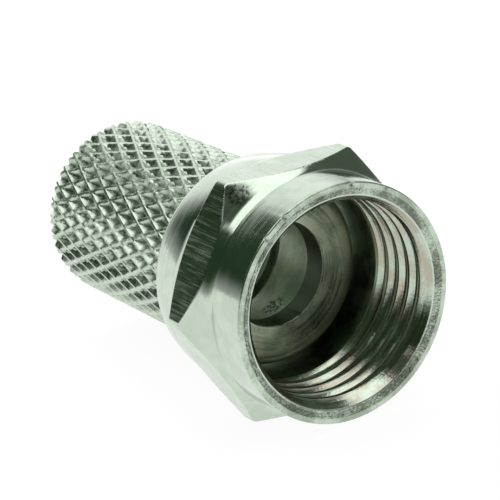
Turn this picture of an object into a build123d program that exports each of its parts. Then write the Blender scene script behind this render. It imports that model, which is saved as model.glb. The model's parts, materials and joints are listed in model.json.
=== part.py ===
from build123d import *
from math import hypot, pi, radians, tan
import os

# Twist-on F connector: a hexagonal coupling nut that spins on a knurled sleeve body
# Millimetres, lying on a flat of the nut, with X along the connector's axis
# X is 0 at the front face of the flange, where the mating port seats, and grows towards the cable

# Coupling nut, inside: the thread sets the size of the whole connector
thread_minor_dia = 8.9
thread_length = 3.25
relief_depth = 0.3
lead_in_depth = 0.175
lead_in_length = 0.8
mouth_flare = 0.425
mouth_bevel = 0.15
mouth_depth = 5.35
lip_thickness = 0.9

# Coupling nut, outside
collar_wall = 0.25
collar_length = 2.45
collar_fillet = 0.8
flat_height = 0.2
corner_height = 0.8
corner_length = 0.75
cone_angle = 48.0
heel_angle = 52.0
dome_step = 0.08
dome_taper = 0.42
dome_round = 0.45

# Body, from its flange to the cable end
flange_gap = 0.2
flange_height = 0.4
flange_thickness = 1.2
flange_round = 0.5
neck_wall = 0.55
shoulder_height = 0.375
sleeve_length = 11.15

# Inside of the body, where the stripped cable goes in
core_stop = 0.9
core_bore_length = 1.25
chamber_length = 3.7
groove_depth = 0.3
groove_width = 0.65
cable_chamfer = 0.4

# Knurl, a raised net of two crossing helices with a sunk pit in each mesh
knurl_starts = 33
knurl_mesh_length = 1.85
knurl_ridge = 0.13
knurl_floor = 0.17
knurl_flank_angle = 50.0
knurl_rear_inset = 0.38

# Fits
swivel_clearance = 0.06
end_play = 0.1

# Diameters of the body
flange_dia = thread_minor_dia - 2 * flange_gap
neck_dia = flange_dia - 2 * flange_height
jacket_bore_dia = neck_dia - 2 * neck_wall
core_bore_dia = jacket_bore_dia - 2 * core_stop
groove_dia = jacket_bore_dia + 2 * groove_depth
sleeve_dia = neck_dia + 2 * shoulder_height

# Diameters of the nut
hole_dia = neck_dia + 2 * swivel_clearance
relief_dia = thread_minor_dia + 2 * relief_depth
lead_in_dia = thread_minor_dia + 2 * lead_in_depth
mouth_dia = lead_in_dia + 2 * mouth_flare
collar_dia = mouth_dia + 2 * collar_wall
across_flats = collar_dia + 2 * flat_height
corner_dia = across_flats + 2 * corner_height
dome_front_dia = across_flats - 2 * dome_step
dome_rear_dia = dome_front_dia - 2 * dome_taper

# Stations along the axis
mouth_x = -mouth_depth
collar_x = mouth_x + collar_length
lip_x = flange_thickness + end_play
nut_rear_x = lip_x + lip_thickness
shoulder_x = nut_rear_x + end_play
cable_x = shoulder_x + sleeve_length
chamber_x = core_bore_length + chamber_length
groove_x = chamber_x + groove_width


def nut_outline():
    """Outside of the nut from the mouth to the hole in its rear, before the flats are cut."""
    rise = (corner_dia - collar_dia) / 2
    cone_x = collar_x + rise / tan(radians(cone_angle))
    corner_x = cone_x + corner_length
    heel_x = corner_x + (corner_dia - dome_front_dia) / 2 / tan(radians(heel_angle))
    front = FilletPolyline(
        (mouth_x, collar_dia / 2),
        (collar_x, collar_dia / 2),
        (cone_x, corner_dia / 2),
        radius=collar_fillet,
    )
    heel = Polyline(
        front @ 1,
        (corner_x, corner_dia / 2),
        (heel_x, dome_front_dia / 2),
    )
    rear = FilletPolyline(
        heel @ 1,
        (nut_rear_x, dome_rear_dia / 2),
        (nut_rear_x, hole_dia / 2),
        radius=dome_round,
    )
    return front @ 0, rear @ 1


def nut_bore(mouth_edge, hole_edge):
    """Inside of the nut from the hole in its rear back to the mouth."""
    bevel_x = mouth_x + mouth_bevel
    thread_x = bevel_x + lead_in_length
    Polyline(
        hole_edge,
        (lip_x, hole_dia / 2),
        (lip_x, relief_dia / 2),
        (thread_x + thread_length, relief_dia / 2),
        (thread_x + thread_length, thread_minor_dia / 2),
        (thread_x, thread_minor_dia / 2),
        (bevel_x, lead_in_dia / 2),
        (mouth_x, mouth_dia / 2),
        mouth_edge,
    )


# Coupling nut, turned from hexagon bar so that the chamfers leave a lens on each flat
with BuildPart() as coupling_nut:
    with BuildSketch(Plane.XY):
        with BuildLine():
            nut_bore(*nut_outline())
        make_face()
    revolve(axis=Axis.X)
    with BuildSketch(Plane.YZ.offset(mouth_x)):
        RegularPolygon(across_flats / 2, 6, major_radius=False)
    extrude(amount=nut_rear_x - mouth_x, mode=Mode.INTERSECT)
coupling_nut.part.label = "coupling_nut"


# One pit of the knurl, a four-sided pyramid with its point cut off by a small floor
mesh_half_length = knurl_mesh_length / 2
mesh_half_width = pi * sleeve_dia / 2 / knurl_starts
mesh_reach = mesh_half_length * mesh_half_width / hypot(mesh_half_length, mesh_half_width)
pit_depth = (mesh_reach - knurl_ridge / 2 - knurl_floor / 2) * tan(radians(knurl_flank_angle))
pit_floor_plane = Plane.XY.offset(sleeve_dia / 2 - pit_depth)
pit_overcut = 0.1
with BuildPart() as knurl_pit:
    with BuildSketch(pit_floor_plane):
        floor_share = knurl_floor / 2 / mesh_reach
        with BuildLine():
            Polyline(
                (floor_share * mesh_half_length, 0),
                (0, floor_share * mesh_half_width),
                (-floor_share * mesh_half_length, 0),
                (0, -floor_share * mesh_half_width),
                close=True,
            )
        make_face()
    extrude(amount=pit_depth + pit_overcut)
    pit_walls = knurl_pit.faces().filter_by(Axis.Z, reverse=True)
    draft(pit_walls, pit_floor_plane, knurl_flank_angle - 90)


def pit_places():
    """Places of the pits, row by row from the cable end, each row half a mesh round from the last."""
    step = 360 / knurl_starts
    rows = int((sleeve_length - knurl_rear_inset) / mesh_half_length) + 1
    places = []
    for row in range(rows):
        x = cable_x - knurl_rear_inset - row * mesh_half_length
        for start in range(knurl_starts):
            turn = (start + row % 2 / 2) * step
            places.append(Location((x, 0, 0), (turn, 0, 0)))
    return places


# Body: flange, neck and knurled sleeve in one turned piece
# The sleeve's crest has two narrow facets to a mesh, so that every wall of a pit ends in a straight edge
with BuildPart() as body:
    with BuildSketch(Plane.YZ.offset(shoulder_x)):
        RegularPolygon(sleeve_dia / 2, 2 * knurl_starts, rotation=90)
    extrude(amount=sleeve_length)
    with Locations(*pit_places()):
        add(knurl_pit.part, mode=Mode.SUBTRACT)
    with BuildSketch(Plane.XY):
        with BuildLine():
            Polyline(
                (0, 0),
                (0, flange_dia / 2),
                (flange_thickness, flange_dia / 2),
                (flange_thickness, neck_dia / 2),
                (shoulder_x, neck_dia / 2),
                (shoulder_x, 0),
                close=True,
            )
        make_face()
    revolve(axis=Axis.X)
    flange_edge = body.edges().filter_by(GeomType.CIRCLE).sort_by(Axis.X)[0]
    fillet(flange_edge, flange_round)
    with BuildSketch(Plane.XY):
        with BuildLine():
            Polyline(
                (0, 0),
                (0, core_bore_dia / 2),
                (core_bore_length, core_bore_dia / 2),
                (core_bore_length, jacket_bore_dia / 2),
                (chamber_x, jacket_bore_dia / 2),
                (chamber_x, groove_dia / 2),
                (groove_x, groove_dia / 2),
                (groove_x, jacket_bore_dia / 2),
                (cable_x - cable_chamfer, jacket_bore_dia / 2),
                (cable_x, jacket_bore_dia / 2 + cable_chamfer),
                (cable_x, 0),
                close=True,
            )
        make_face()
    revolve(axis=Axis.X, mode=Mode.SUBTRACT)
body.part.label = "body"


os.makedirs("parts", exist_ok=True)
export_step(coupling_nut.part, "parts/coupling_nut.step")
export_step(body.part, "parts/body.step")
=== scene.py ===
import json
from math import cos, pi, radians, sin, tan

import bmesh
import bpy
import numpy as np
from mathutils import Matrix, Vector


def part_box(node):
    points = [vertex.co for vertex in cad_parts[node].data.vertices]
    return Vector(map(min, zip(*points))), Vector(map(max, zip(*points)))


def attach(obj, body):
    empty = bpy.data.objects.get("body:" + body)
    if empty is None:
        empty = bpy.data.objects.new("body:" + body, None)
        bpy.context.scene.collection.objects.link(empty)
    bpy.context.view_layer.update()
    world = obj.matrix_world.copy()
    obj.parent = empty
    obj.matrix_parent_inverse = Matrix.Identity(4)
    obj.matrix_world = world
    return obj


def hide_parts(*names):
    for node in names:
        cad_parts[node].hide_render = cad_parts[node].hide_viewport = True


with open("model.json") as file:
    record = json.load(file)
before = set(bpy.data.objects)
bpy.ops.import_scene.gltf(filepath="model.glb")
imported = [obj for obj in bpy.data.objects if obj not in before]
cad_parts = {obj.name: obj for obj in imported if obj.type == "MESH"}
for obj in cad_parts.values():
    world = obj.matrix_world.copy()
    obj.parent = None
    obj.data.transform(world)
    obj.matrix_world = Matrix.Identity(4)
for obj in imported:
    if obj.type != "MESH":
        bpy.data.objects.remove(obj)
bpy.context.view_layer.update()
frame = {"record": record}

# Twist-on F connector: a polished hexagonal nut that spins on a knurled sleeve
# Metres, X along the axis, with X = 0 at the flange's front face and +X towards the cable
MM = 0.001

# Places and sizes that come from the frame
mounts = {mount["name"]: mount for mount in frame["record"]["mounts"]}
nut_low, nut_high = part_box("coupling_nut")
body_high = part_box("body")[1]
mouth_x = nut_low.x
nut_rear_x = nut_high.x
corner_r = nut_high.y
apothem = nut_high.z
flange_r = body_high.z
cable_x = body_high.x
thread_r = mounts["coupling_thread"]["dims"]["r_mm"] * MM
core_r = mounts["core_bore"]["dims"]["r_mm"] * MM
core_length = mounts["core_bore"]["dims"]["length_mm"] * MM
jacket_r = mounts["jacket_bore"]["dims"]["r_mm"] * MM
chamber_length = mounts["jacket_bore"]["dims"]["length_mm"] * MM

# Coupling nut outside
collar_r = 5.3 * MM
collar_length = 2.45 * MM
collar_fillet = 0.8 * MM
cone_angle = radians(48)
corner_length = 0.75 * MM
heel_angle = radians(52)
dome_front_r = 5.42 * MM
dome_rear_r = 5.0 * MM
dome_round = 0.45 * MM
dome_swell = 0.05 * MM

# Coupling nut inside
mouth_r = 5.05 * MM
mouth_bevel = 0.15 * MM
lead_in_r = 4.68 * MM
lead_in_length = 0.27 * MM
relief_r = 4.75 * MM
relief_length = 2.45 * MM
lip_x = 1.3 * MM
hole_r = 3.91 * MM
thread_pitch = 25.4 / 32 * MM
thread_depth = 0.25 * MM
coupling_profile = [
    (0, 0.06), (0.05, 0), (0.2, 0), (0.25, 0.06),
    (0.44, 0.94), (0.48, 1), (0.77, 1), (0.81, 0.94),
]

# Body
flange_thickness = 1.2 * MM
flange_round = 0.5 * MM
neck_r = 3.85 * MM
shoulder_x = 2.3 * MM
sleeve_r = 4.225 * MM
groove_r = 3.6 * MM
groove_width = 0.65 * MM
cable_chamfer = 0.4 * MM
jacket_pitch = 1.3 * MM
jacket_thread_depth = 0.24 * MM
jacket_profile = [(0, 0.1), (0.25, 0), (0.5, 0.1), (0.72, 1), (0.8, 1)]

# Knurl, a raised net of two crossing families of ridges; the second family stands a little lower
knurl_starts = 33
knurl_mesh_length = 1.85 * MM
knurl_ridge = 0.13 * MM
knurl_floor = 0.17 * MM
knurl_flank = radians(50)
knurl_rear_inset = 0.38 * MM
low_ridge_drop = 0.012 * MM

# Edges left by turning and tumbling
edge_break = 0.03 * MM
edge_support = 0.03 * MM
rim_round = 0.07 * MM

# Marks of use, each with its angle and width in degrees, then its depth in millimetres or its strength
rim_knocks = [
    (28, 1.1, 0.09), (41, 0.9, 0.07), (-10, 1.2, 0.10),
    (12, 0.8, 0.03), (-30, 0.8, 0.05), (150, 1.2, 0.05),
]
bore_chips = [(149, 2, 0.12), (178, 2, 0.10), (-157, 2, 0.10), (-134, 3, 0.06)]
rough_sides = [(-80, 28, 1.0), (-125, 30, 0.9), (175, 30, 0.5)]
least_roughness = 0.15
chatter_depth = 0.011 * MM

# Fineness of the meshes
nut_steps = 480
round_steps = 12
dome_steps = 6
knurl_levels = [0.0, 0.07, 0.11, 0.24, 0.385, 0.5, 0.615, 0.76, 0.89, 0.93]

# Width across one mesh of the knurl, distance between two ridges of one family, and a crossing of ridges
knurl_mesh_width = 2 * pi * sleeve_r / knurl_starts
ridge_spacing = 1 / np.hypot(1 / knurl_mesh_length, 1 / knurl_mesh_width)
crossing_x = cable_x - knurl_rear_inset + knurl_mesh_length / 2
knurl_depth = (ridge_spacing / 2 - knurl_ridge / 2 - knurl_floor / 2) * tan(knurl_flank)


def arc_points(start, corner, end, radius, count=5):
    """Points of the round that fills a corner between two straight edges."""
    to_start = (Vector(start) - Vector(corner)).normalized()
    to_end = (Vector(end) - Vector(corner)).normalized()
    half = to_start.angle(to_end) / 2
    reach = radius / tan(half)
    centre = Vector(corner) + (to_start + to_end).normalized() * radius / sin(half)
    first = (Vector(corner) + to_start * reach - centre).normalized()
    last = (Vector(corner) + to_end * reach - centre).normalized()
    return [tuple(centre + first.slerp(last, step / count) * radius) for step in range(count + 1)]


def rounded(points, radii, count=5):
    """An open outline whose corners are rounded; a radius of 0 leaves a corner sharp."""
    outline = [points[0]]
    for before, corner, after, radius in zip(points, points[1:], points[2:], radii):
        if radius > 0:
            outline += arc_points(before, corner, after, radius, count)
        else:
            outline.append(corner)
    return outline + [points[-1]]


def bumps(angles, places):
    """Sum of soft bumps round the axis; each place is an angle and a width in degrees and a height."""
    total = np.zeros(len(angles))
    for angle, width, height in places:
        away = (angles - radians(angle) + pi) % (2 * pi) - pi
        total += height * np.exp(-(away / radians(width)) ** 2)
    return total


class Skin:
    """Rows of points round the X axis; x, radius and angle of a row may change from point to point."""

    def __init__(self, angles):
        self.angles = np.array(angles)
        self.rows = []
        self.finishes = []
        self.jumps = []

    def row(self, x, r, finish, angles=None):
        """Adds a row; finish is the material of the band that follows it."""
        ones = np.ones(len(self.angles))
        self.rows.append((x * ones, r * ones, self.angles if angles is None else angles))
        self.finishes.append(finish)
        self.jumps.append(0)

    def outline(self, points, finish):
        for x, r in points:
            self.row(x, r, finish)

    def thread(self, start_x, end_x, crest_r, depth, pitch, profile, finish, fade):
        """Right-handed turns in a bore; profile lists shares of the pitch and of the depth."""
        low, high = sorted((start_x, end_x))
        turn = self.angles / (2 * pi)
        turns = []
        for whole in range(int(np.floor(low / pitch)) - 2, int(np.ceil(high / pitch)) + 2):
            for share, deep in profile:
                x = np.clip((whole + share - turn) * pitch, low, high)
                ends = np.clip((x - low) / fade, 0, 1) * np.clip((high - x) / fade, 0, 1)
                turns.append((x, crest_r + depth * deep * ends))
        order = 1 if end_x > start_x else -1
        for number, (x, r) in enumerate(turns[::order]):
            self.row(x, r, finish)
            joined = number - order * len(profile)
            self.jumps[-1] = min(max(joined, 0), len(turns) - 1) - number

    def faces(self, closed):
        """Points, quads and finish of each quad; a thread's row goes on in the row one turn away."""
        x, r, angles = (np.array([row[part] for row in self.rows]) for part in range(3))
        points = np.stack([x, r * np.sin(angles), r * np.cos(angles)], axis=-1)
        rows, steps = x.shape
        index = np.arange(rows * steps).reshape(rows, steps)
        right = np.roll(index, -1, axis=1)
        right[:, -1] = index[np.arange(rows) + self.jumps, 0]
        quads = [index, right, np.roll(right, -1, axis=0), np.roll(index, -1, axis=0)]
        quads = np.stack(quads, axis=-1)
        if not closed:
            quads = quads[:-1]
        quads = quads.reshape(-1, 4)
        return points.reshape(-1, 3), quads, np.repeat(self.finishes[: len(quads) // steps], steps)


def make_piece(name, body, parts, materials, crease):
    """Joins parts of skin, welds points that coincide, and lets the piece ride on its body."""
    weld = 0.0005 * MM
    points = np.concatenate([part[0] for part in parts])
    starts = np.cumsum([0] + [len(part[0]) for part in parts])
    quads = np.concatenate([part[1] + start for part, start in zip(parts, starts)])
    finishes = np.concatenate([part[2] for part in parts])
    mesh = bpy.data.meshes.new(name)
    mesh.from_pydata(points, [], quads)
    slots = list(dict.fromkeys(finishes))
    for slot in slots:
        mesh.materials.append(materials[slot])
    numbers = np.array([slots.index(finish) for finish in finishes], dtype=np.int32)
    mesh.polygons.foreach_set("material_index", numbers)
    work = bmesh.new()
    work.from_mesh(mesh)
    bmesh.ops.remove_doubles(work, verts=work.verts, dist=weld)
    bmesh.ops.dissolve_degenerate(work, edges=work.edges, dist=weld)
    bmesh.ops.recalc_face_normals(work, faces=work.faces)
    loose = [vert for vert in work.verts if not vert.link_faces]
    bmesh.ops.delete(work, geom=loose, context="VERTS")
    work.to_mesh(mesh)
    work.free()
    mesh.shade_smooth()
    mesh.set_sharp_from_angle(angle=crease)
    piece = bpy.data.objects.new(name, mesh)
    bpy.context.scene.collection.objects.link(piece)
    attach(piece, body)
    return piece


def hexagon_radius(angles):
    """Distance from the axis to the flats of the hexagon at each angle."""
    from_normal = (angles + pi / 6) % (pi / 3) - pi / 6
    return apothem / np.cos(from_normal)


def nut_angles():
    """Angles round the nut, with one on each edge of the narrow lands at the six corners."""
    land = np.arccos(apothem / corner_r)
    angles = np.linspace(0, 2 * pi, nut_steps, endpoint=False)
    from_normal = (angles + pi / 6) % (pi / 3) - pi / 6
    step = 2 * pi / nut_steps
    near_land = np.abs(np.abs(from_normal) - land) < step / 2
    snapped = angles - from_normal + np.sign(from_normal) * land
    return np.where(near_land, snapped, angles)


def build_nut(materials):
    """Hexagonal coupling nut, with its lens-shaped flats and its thread turns cut in full."""
    rng = np.random.default_rng(3)
    skin = Skin(nut_angles())
    hexagon = hexagon_radius(skin.angles)
    collar_x = mouth_x + collar_length
    cone_x = collar_x + (corner_r - collar_r) / tan(cone_angle)
    corner_x = cone_x + corner_length
    heel_x = corner_x + (corner_r - dome_front_r) / tan(heel_angle)

    face_r = collar_r - rim_round * 2
    collar = rounded(
        [(mouth_x, face_r), (mouth_x, collar_r), (collar_x, collar_r), (cone_x, corner_r)],
        [rim_round, collar_fillet],
        round_steps,
    )
    rise_count = round_steps + 2
    rise = collar[-rise_count:]
    knocks = bumps(skin.angles, rim_knocks) * MM
    for x, r in collar[1:-rise_count]:
        near_mouth = max(0.0, 1 - (x - mouth_x) / (2 * rim_round))
        finish = "turned" if x > mouth_x + 0.9 * rim_round else "rim"
        skin.row(x + knocks * near_mouth, r, finish)
    rise_x = np.array([point[0] for point in rise])
    rise_r = np.array([point[1] for point in rise])
    flat_r = np.minimum(hexagon, corner_r)
    lens_front = np.interp(flat_r, rise_r, rise_x)
    lens_rear = np.interp(-flat_r, [-corner_r, -dome_front_r], [corner_x, heel_x])
    for share in np.linspace(0, 1, 14)[:-1]:
        x = rise_x[0] + (lens_front - edge_break - rise_x[0]) * share
        skin.row(x, np.interp(x, rise_x, rise_r), "turned")
    x = lens_front - edge_break
    skin.row(x, np.interp(x, rise_x, rise_r), "flats")
    inset = edge_break + edge_support
    for x in (lens_front + edge_break, lens_front + inset, lens_rear - inset, lens_rear - edge_break):
        skin.row(x, flat_r, "flats")
    for share in np.linspace(0, 1, 7)[:-1]:
        x = lens_rear + edge_break + (heel_x - edge_break - lens_rear - edge_break) * share
        r = np.interp(x, [corner_x, heel_x], [corner_r, dome_front_r])
        skin.row(x, r, "turned")

    dome = rounded(
        [(heel_x, dome_front_r), (nut_rear_x, dome_rear_r), (nut_rear_x, hole_r), (lip_x, hole_r)],
        [dome_round, edge_break],
        dome_steps,
    )
    skin.row(dome[0][0] + edge_break, dome[0][1], "turned")
    round_x = dome[1][0]
    for share in np.linspace(0, 1, 8)[1:-1]:
        x = heel_x + (round_x - heel_x) * share
        r = np.interp(share, [0, 1], [dome_front_r, dome[1][1]]) + dome_swell * sin(pi * share) ** 0.8
        skin.row(x, r, "turned")
    skin.outline(dome[1:], "turned")

    bevel_x = mouth_x + mouth_bevel
    thread_x = bevel_x + lead_in_length
    thread_end_x = lip_x - relief_length
    skin.outline([(lip_x, relief_r), (thread_end_x, relief_r)], "relief")
    skin.outline([(thread_end_x, thread_r + edge_break)], "thread")
    skin.thread(
        thread_end_x - edge_break, thread_x, thread_r, thread_depth, thread_pitch,
        coupling_profile, "thread", 0.4 * thread_pitch,
    )

    # Lead-in and bevel, rough on the side that was knocked most
    chatter = chatter_depth * (bumps(skin.angles, rough_sides) + least_roughness)
    lead_in = rounded([(thread_x, thread_r), (bevel_x, lead_in_r), (mouth_x, mouth_r)], [edge_break], 2)
    skin.outline(lead_in[1:-1], "lead_in")
    bevel_start = lead_in[-2]
    for share in np.linspace(0, 1, 7)[1:-1]:
        x = bevel_start[0] + (mouth_x - bevel_start[0]) * share
        r = bevel_start[1] + (mouth_r - bevel_start[1]) * share
        skin.row(x + chatter * rng.uniform(0, 1.8, nut_steps), r, "bevel")
    for r in (mouth_r, mouth_r + edge_break, (mouth_r + face_r) / 2, face_r):
        dent = knocks * np.interp(r, [mouth_r, face_r], [0.3, 0.8])
        skin.row(mouth_x + dent + chatter * rng.uniform(0, 0.5, nut_steps), r, "rim")
    nut = make_piece("nut_shell", "coupling_nut", [skin.faces(closed=True)], materials, radians(34))
    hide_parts("coupling_nut")
    return nut


def knurl_sag(along, around):
    """Depth below the crest at a place on the knurl, in meshes along and around."""
    first = along + around
    second = along - around
    first_line = np.round(first)
    second_line = np.round(second)
    wander = 0.016 * np.sin(2 * pi * second + 1.7 * first_line)
    wander += 0.010 * np.sin(3.1 * second + 2.9 * first_line)
    waver = 0.006 * np.sin(2 * pi * first + 2.3 * second_line)
    to_first = np.abs(first - first_line + wander) * ridge_spacing
    to_second = np.abs(second - second_line + waver) * ridge_spacing
    slope = tan(knurl_flank)
    burr = 0.010 * MM * np.sin(4 * pi * second + 1.3 * first_line) * np.exp(-to_first / knurl_ridge)
    low_side = np.maximum((to_first - knurl_ridge / 2) * slope, low_ridge_drop + burr)
    high_side = np.maximum((to_second - knurl_ridge * 0.4) * slope, 0)
    pit = np.sin(12.9 * np.floor(first) + 78.2 * np.floor(second)) * 43758.5
    pit_depth = knurl_depth * (0.88 + 0.14 * (pit - np.floor(pit)))
    return np.minimum(np.minimum(low_side, high_side), pit_depth)


def knurl_net():
    """Knurled outside of the sleeve, meshed along its ridges, and the rings at its two ends."""
    levels = len(knurl_levels)
    columns = knurl_starts * levels
    margin = 2
    low = int(-knurl_rear_inset / knurl_mesh_length * 2 * levels) - margin * levels
    high = int((cable_x - shoulder_x) / knurl_mesh_length * 2 * levels) + margin * levels
    step, column = np.mgrid[low:high, 0:columns]
    other = step - column
    unit = np.array(knurl_levels)
    first = column // levels + unit[column % levels]
    second = other // levels + unit[other % levels]
    x = crossing_x - (first + second) / 2 * knurl_mesh_length
    around = (first - second) / 2
    inside_x = np.clip(x, shoulder_x, cable_x)
    along = (crossing_x - inside_x) / knurl_mesh_length
    r = sleeve_r - knurl_sag(along, around)
    angle = around * 2 * pi / knurl_starts
    points = np.stack([inside_x, r * np.sin(angle), r * np.cos(angle)], axis=-1)

    index = np.arange(x.size).reshape(x.shape)
    right = np.roll(index, -1, axis=1)
    quads = np.stack([index[:-2], right[1:-1], right[2:], index[1:-1]], axis=-1).reshape(-1, 4)
    flat_x = x.ravel()
    beyond = (flat_x >= cable_x).astype(int) - (flat_x <= shoulder_x)
    keep = np.abs(beyond[quads].sum(axis=1)) < 4
    quads = quads[keep]
    rings = []
    for side in (-1, 1):
        ends = np.unique(quads[beyond[quads] == side])
        turn = angle.ravel()[ends] % (2 * pi)
        order = ends[np.argsort(turn)]
        rings.append((np.sort(turn), r.ravel()[order]))
    finish = np.repeat("knurl", len(quads))
    return (points.reshape(-1, 3), quads, finish), rings[0], rings[1]


def build_body(materials):
    """Flange, neck and knurled sleeve in one skin, with the jacket thread cut in the bore."""
    net, shoulder_ring, cable_ring = knurl_net()
    skin = Skin(cable_ring[0])
    skin.row(shoulder_x, shoulder_ring[1], "flange", shoulder_ring[0])
    skin.row(shoulder_x, neck_r, "flange")
    front = [(shoulder_x, neck_r), (flange_thickness, neck_r), (flange_thickness, flange_r)]
    front += [(0, flange_r), (0, core_r)]
    front = rounded(front, [edge_break, edge_break, flange_round], dome_steps + 2)
    skin.outline(front[1:-1], "flange")
    face_start = front[-2][1]
    chips = bumps(skin.angles, bore_chips) * MM
    for share in np.linspace(0, 1, 7)[1:]:
        skin.row(0, face_start + (core_r + edge_break - face_start) * share, "flange_face")
    skin.row(edge_break + chips * 0.3, core_r, "bore")
    chamber_x = core_length + chamber_length
    groove_x = chamber_x + groove_width
    inside = [(core_length, core_r), (core_length, jacket_r), (chamber_x, jacket_r)]
    inside += [(chamber_x, groove_r), (groove_x, groove_r), (groove_x, jacket_r)]
    skin.outline(inside, "inner_bore")
    skin.thread(
        groove_x, cable_x - cable_chamfer, jacket_r, jacket_thread_depth, jacket_pitch,
        jacket_profile, "inner_bore", 0.2 * jacket_pitch,
    )
    skin.row(cable_x - cable_chamfer, jacket_r, "inner_bore")
    skin.row(cable_x, jacket_r + cable_chamfer, "flange")
    skin.row(cable_x, cable_ring[1], "flange")
    body = make_piece("knurled_body", "body", [net, skin.faces(closed=False)], materials, radians(30))
    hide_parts("body")
    return body


class Graph:
    """Short calls for the nodes of one material or world."""

    def __init__(self, tree):
        self.nodes = tree.nodes
        self.links = tree.links

    def feed(self, socket, value):
        if isinstance(value, bpy.types.NodeSocket):
            self.links.new(value, socket)
        else:
            socket.default_value = value

    def node(self, kind, values=(), **settings):
        node = self.nodes.new(kind)
        for name, setting in settings.items():
            setattr(node, name, setting)
        for socket, value in zip(node.inputs, values):
            self.feed(socket, value)
        return node

    def math(self, operation, *values):
        return self.node("ShaderNodeMath", values, operation=operation).outputs[0]

    def ramp(self, value, low, high, first=0.0, last=1.0):
        values = (value, low, high, first, last)
        return self.node("ShaderNodeMapRange", values, interpolation_type="SMOOTHSTEP").outputs[0]

    def vector(self, x, y, z):
        return self.node("ShaderNodeCombineXYZ", (x, y, z)).outputs[0]

    def noise(self, place, scale, detail=3.0):
        node = self.node("ShaderNodeTexNoise")
        self.feed(node.inputs["Vector"], place)
        node.inputs["Scale"].default_value = scale
        node.inputs["Detail"].default_value = detail
        return node.outputs["Fac"]

    def blend(self, share, first, second):
        node = self.node("ShaderNodeMix", data_type="RGBA")
        self.feed(node.inputs["Factor"], share)
        self.feed(node.inputs[6], first)
        self.feed(node.inputs[7], second)
        return node.outputs[2]


def nickel(name, tones, roughness, streak, lines, height, drawn=False, fleck=0.0, pit_shade=None, dark_spot=None):
    """Nickel plate with tool marks: rings round the axis, or lines along it where it is drawn.

    Tones are the bright and the dull colour, roughness its least and greatest value.
    Streak is how much wider the marks spread light across themselves than along themselves.
    Lines is the number of marks to a millimetre and height their depth.
    Fleck is the share of fine grain in the relief and the tones.
    The range of radius for the painted pit shade sets where the knurl's sunk places go from a darker copy
    of the dull tone to the plain tones: painted shade in its hollows.
    Dark spot is the centre and the reach of a dark, mottled spot, and how dark it is
    between its specks, and the number of specks to a millimetre.
    """
    material = bpy.data.materials.new(name)
    material.use_nodes = True
    shader = material.node_tree.nodes["Principled BSDF"]
    graph = Graph(material.node_tree)
    shader.inputs["Metallic"].default_value = 1.0
    if streak:
        tangent = graph.node("ShaderNodeTangent", direction_type="RADIAL", axis="X")
        graph.feed(shader.inputs["Tangent"], tangent.outputs[0])
        shader.inputs["Anisotropic"].default_value = streak
        shader.inputs["Anisotropic Rotation"].default_value = 0.0 if drawn else 0.25
    place = graph.node("ShaderNodeTexCoord").outputs["Object"]
    x, y, z = graph.node("ShaderNodeSeparateXYZ", (place,)).outputs
    density = lines / MM
    squares = graph.math("ADD", graph.math("MULTIPLY", y, y), graph.math("MULTIPLY", z, z))
    radius = graph.math("SQRT", squares)
    if drawn:
        marks_at = graph.vector(graph.math("MULTIPLY", x, 0.04), y, z)
    else:
        marks_at = graph.vector(x, radius, graph.math("MULTIPLY", y, 0.03))
    marks = graph.noise(marks_at, density, 4.0)
    broad = graph.noise(marks_at, density / 6, 2.0)
    cloud = graph.noise(place, 0.9 / MM, 5.0)
    grain = graph.noise(place, 9 / MM, 3.0)

    relief = graph.math("ADD", graph.math("MULTIPLY", marks, 0.7), graph.math("MULTIPLY", broad, 1.6))
    relief = graph.math("ADD", relief, graph.math("MULTIPLY", grain, fleck))
    bump = graph.node("ShaderNodeBump")
    bump.inputs["Strength"].default_value = 1.0
    bump.inputs["Distance"].default_value = height
    graph.feed(bump.inputs["Height"], relief)
    graph.feed(shader.inputs["Normal"], bump.outputs[0])

    spots = min(fleck / 3, 0.7)
    worn = graph.math("MULTIPLY_ADD", grain, spots, graph.math("MULTIPLY", cloud, 1 - spots))
    worn = graph.ramp(worn, 0.40, 0.62)
    bright, dull = tones
    tone = graph.blend(worn, (*dull, 1), (*bright, 1))
    # Painted shade: sunk places of the knurl are darkened, the more the deeper they lie.
    if pit_shade:
        pit_shade_fade = graph.ramp(radius, pit_shade[0], pit_shade[1])
        tone = graph.blend(pit_shade_fade, [share * 0.7 for share in dull] + [1], tone)
    # Darkens a mottled spot round a given centre.
    if dark_spot:
        away = graph.node("ShaderNodeVectorMath", (place, dark_spot[0]), operation="DISTANCE").outputs["Value"]
        reach = graph.ramp(away, dark_spot[1] * 0.5, dark_spot[1], 1.0, 0.0)
        specks = graph.noise(place, dark_spot[3] / MM, 3.0)
        mottle = graph.math("MULTIPLY", reach, graph.ramp(specks, 0.42, 0.56, 0.9, dark_spot[2]))
        tone = graph.blend(mottle, tone, (0.05, 0.055, 0.04, 1))
    graph.feed(shader.inputs["Base Color"], tone)
    uneven = graph.math("MULTIPLY_ADD", marks, 0.8, graph.math("MULTIPLY", cloud, 0.2))
    graph.feed(shader.inputs["Roughness"], graph.ramp(uneven, 0.42, 0.62, roughness[0], roughness[1]))
    return material


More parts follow.
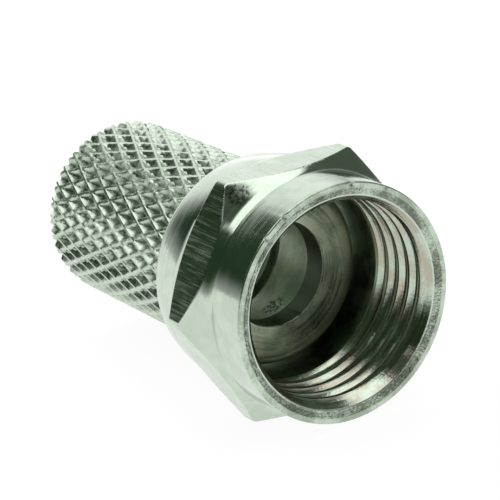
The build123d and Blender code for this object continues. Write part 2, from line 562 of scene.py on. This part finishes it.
def build_materials():
    plate = (0.575, 0.672, 0.560)
    shade = (0.515, 0.605, 0.500)
    grey = (0.34, 0.41, 0.32)
    brown = (0.43, 0.415, 0.33)
    olive = (0.54, 0.60, 0.46)
    brass = (0.66, 0.70, 0.50)
    dark = (0.17, 0.195, 0.15)
    # A dark, mottled spot on the cone beside one corner of the flats.
    corner_dark_spot = (Vector((-2.42, 2.85, 5.10)) * MM, 0.70 * MM, 0.35, 7)
    # A dark, mottled spot low in the jacket bore, black between its specks.
    bore_dark_spot = (Vector((3.35, -1.55, -2.90)) * MM, 0.70 * MM, 0.0, 5)
    # Radii over which the knurl's painted shade fades out, from the bottom of its hollows to near its
    # crests.
    pit_shade = (sleeve_r - knurl_depth, sleeve_r - 0.2 * knurl_depth)
    finishes = {
        "turned": ((plate, shade), (0.10, 0.20), 0.4, 9, 0.004 * MM, {"dark_spot": corner_dark_spot}),
        "flats": ((plate, shade), (0.10, 0.30), 0.0, 11, 0.012 * MM, {"drawn": True}),
        "rim": ((plate, grey), (0.22, 0.42), 0.3, 10, 0.008 * MM, {"fleck": 0.8}),
        "bevel": ((shade, dark), (0.06, 0.22), 0.0, 5, 0.090 * MM, {"fleck": 0.9}),
        "lead_in": ((plate, shade), (0.20, 0.40), 0.5, 9, 0.006 * MM, {"fleck": 0.3}),
        "thread": ((shade, brown), (0.12, 0.26), 0.4, 9, 0.014 * MM, {"fleck": 0.4}),
        # The core bore's wall is painted dark in both tones: painted shade inside the hole.
        "bore": ((dark, dark), (0.30, 0.36), 0.5, 7, 0.002 * MM, {}),
        # The relief bore behind the nut's thread is painted grey to dark: painted shade on a wall hidden
        # from the light.
        "relief": ((grey, dark), (0.30, 0.38), 0.0, 6, 0.002 * MM, {}),
        "flange_face": ((olive, grey), (0.22, 0.34), 0.5, 8, 0.008 * MM, {}),
        "flange": ((brass, olive), (0.35, 0.55), 0.0, 8, 0.006 * MM, {}),
        "knurl": ((plate, shade), (0.26, 0.44), 0.0, 6, 0.004 * MM, {"fleck": 0.8, "pit_shade": pit_shade}),
        "inner_bore": ((olive, grey), (0.34, 0.44), 0.5, 8, 0.005 * MM, {"fleck": 0.8, "dark_spot": bore_dark_spot}),
    }
    materials = {}
    for finish, (tones, roughness, streak, lines, height, more) in finishes.items():
        materials[finish] = nickel("nickel_" + finish, tones, roughness, streak, lines, height, **more)
    return materials


def build_floor():
    """Plain pale ground that the connector lies on."""
    size = 4.0
    floor_z = nut_low.z
    mesh = bpy.data.meshes.new("floor")
    corners = [(-size, -size), (size, -size), (size, size), (-size, size)]
    corners = [(x, y, floor_z) for x, y in corners]
    mesh.from_pydata(corners, [], [(0, 1, 2, 3)])
    floor = bpy.data.objects.new("floor", mesh)
    bpy.context.scene.collection.objects.link(floor)
    material = bpy.data.materials.new("pale_ground")
    material.use_nodes = True
    shader = material.node_tree.nodes["Principled BSDF"]
    shader.inputs["Base Color"].default_value = (0.14, 0.14, 0.14, 1)
    shader.inputs["Roughness"].default_value = 1.0
    shader.inputs["Specular IOR Level"].default_value = 0.0
    shader.inputs["Emission Color"].default_value = (1, 1, 1, 1)
    shader.inputs["Emission Strength"].default_value = 0.92
    mesh.materials.append(material)
    return floor


def build_world():
    """White tent: a softbox overhead and a pale backdrop, with dark openings to the left and right."""
    world = bpy.data.worlds.new("studio")
    bpy.context.scene.world = world
    world.use_nodes = True
    graph = Graph(world.node_tree)
    toward = graph.node("ShaderNodeTexCoord").outputs["Generated"]
    x, y, z = graph.node("ShaderNodeSeparateXYZ", (toward,)).outputs

    def within(value, low, high, soft):
        rise = graph.ramp(value, low - soft, low + soft)
        fall = graph.ramp(value, high - soft, high + soft, 1.0, 0.0)
        return graph.math("MULTIPLY", rise, fall)

    def patch(axis, across, along, box, soft):
        """Soft rectangle on the plane one unit away along an axis."""
        ahead = graph.math("MAXIMUM", axis, 0.001)
        wide = within(graph.math("DIVIDE", across, ahead), box[0], box[1], soft)
        high = within(graph.math("DIVIDE", along, ahead), box[2], box[3], soft)
        return graph.math("MULTIPLY", wide, high)

    softbox = patch(z, x, y, (-1.0, 1.12, -0.66, 0.78), 0.09)
    photographer = patch(z, x, y, (-1.6, -0.18, 0.12, 0.75), 0.12)
    free_share = graph.math("SUBTRACT", 1.0, graph.math("MULTIPLY", photographer, 0.97))
    softbox = graph.math("MULTIPLY", softbox, free_share)
    backdrop = patch(x, y, z, (-0.75, 0.03, -0.3, 0.88), 0.16)
    side = patch(x, y, z, (-1.7, -0.7, -0.3, 0.9), 0.2)
    window = patch(graph.math("MULTIPLY", x, -1.0), y, z, (-1.3, -0.35, 0.3, 1.2), 0.15)
    right = graph.ramp(y, 0.2, -0.5)
    glow = graph.ramp(z, 0.20, -0.02)

    light = graph.math("MULTIPLY", softbox, 1.6)
    light = graph.math("ADD", light, graph.math("MULTIPLY", backdrop, 1.08))
    light = graph.math("ADD", light, graph.math("MULTIPLY", side, 0.22))
    light = graph.math("ADD", light, graph.math("MULTIPLY", window, 0.5))
    light = graph.math("ADD", light, graph.math("MULTIPLY", right, 0.07))
    light = graph.math("ADD", light, graph.math("MULTIPLY", glow, 0.5))
    tint = graph.blend(graph.ramp(light, 0.0, 0.5), (0.028, 0.050, 0.026, 1), (0, 0, 0, 1))
    colour = graph.node("ShaderNodeCombineColor", (light, light, light)).outputs[0]
    total = graph.node("ShaderNodeVectorMath", (colour, tint), operation="ADD").outputs[0]
    seen = graph.node("ShaderNodeLightPath").outputs["Is Camera Ray"]
    background = world.node_tree.nodes["Background"]
    graph.feed(background.inputs["Color"], graph.blend(seen, total, (1, 1, 1, 1)))
    background.inputs["Strength"].default_value = 1.0


def build_camera():
    """Camera at the photograph's angle, from a fit to the rim, the corners and the sleeve."""
    place = Vector((-88.945, 52.088, 38.383)) * MM
    right = Vector((-0.52797, -0.84181, -0.11224))
    up = Vector((0.23286, -0.27060, 0.93411))
    data = bpy.data.cameras.new("camera")
    data.sensor_width = 36
    data.lens = 180
    data.clip_start = 0.01
    data.clip_end = 20
    camera = bpy.data.objects.new("camera", data)
    bpy.context.scene.collection.objects.link(camera)
    camera.location = place
    camera.rotation_euler = Matrix((right, up, right.cross(up))).transposed().to_euler()
    bpy.context.scene.camera = camera


materials = build_materials()
build_nut(materials)
build_body(materials)
build_floor()
build_world()
build_camera()
bpy.context.scene.view_settings.view_transform = "Standard"
